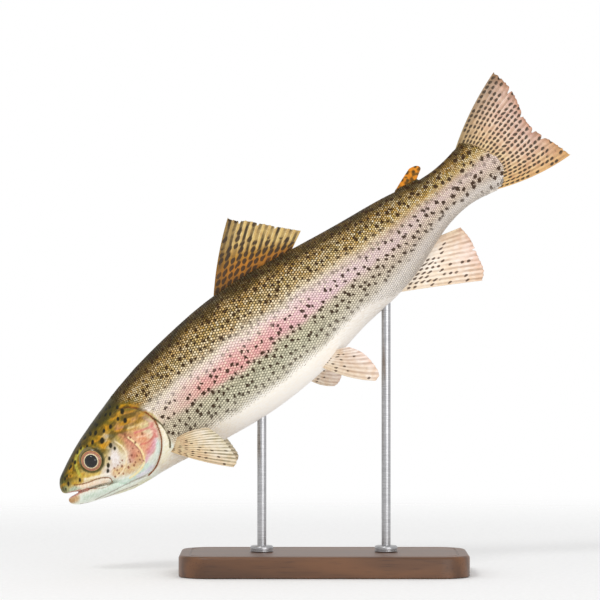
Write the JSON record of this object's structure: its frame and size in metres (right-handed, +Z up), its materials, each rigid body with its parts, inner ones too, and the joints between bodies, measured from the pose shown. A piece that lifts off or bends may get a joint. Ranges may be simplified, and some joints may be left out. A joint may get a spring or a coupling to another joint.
{
  "type": "rainbow trout",
  "caption": "Life-size rainbow trout swimming nose-down with fins spread, held on a plain display stand with a flat wooden base and steel rods.",
  "frame": {"origin": "centre of the stand's foot, on the surface it stands on", "axes": "+Z up; the trout's head points to -X and downwards, its left side faces -Y"},
  "size_m": [0.3373, 0.092, 0.3307],
  "materials": {
    "trout_skin": "wet scaled skin, olive back, pink band and white belly",
    "trout_fins": "thin translucent fin membrane over rays, with dark spots",
    "trout_eyes": "wet cornea over a copper iris and a black pupil",
    "stand_wood": "satin walnut",
    "stand_steel": "brushed"
  },
  "bodies": {
    "root": {"head": "trout_skin", "lower_jaw": "trout_skin", "maxilla_left": "trout_skin", "maxilla_right": "trout_skin", "gill_cover_left": "trout_skin", "gill_cover_right": "trout_skin", "trunk": "trout_skin", "tail_stalk": "trout_skin", "adipose_fin": "trout_skin", "dorsal_fin": "trout_fins", "anal_fin": "trout_fins", "tail_fin": "trout_fins", "pectoral_fin_left": "trout_fins", "pectoral_fin_right": "trout_fins", "pelvic_fin_left": "trout_fins", "pelvic_fin_right": "trout_fins", "eye_left": "trout_eyes", "eye_right": "trout_eyes", "stand_base": "stand_wood", "stand_rod_front": "stand_steel", "stand_rod_rear": "stand_steel", "stand_collar_front": "stand_steel", "stand_collar_rear": "stand_steel"}
  },
  "joints": []
}
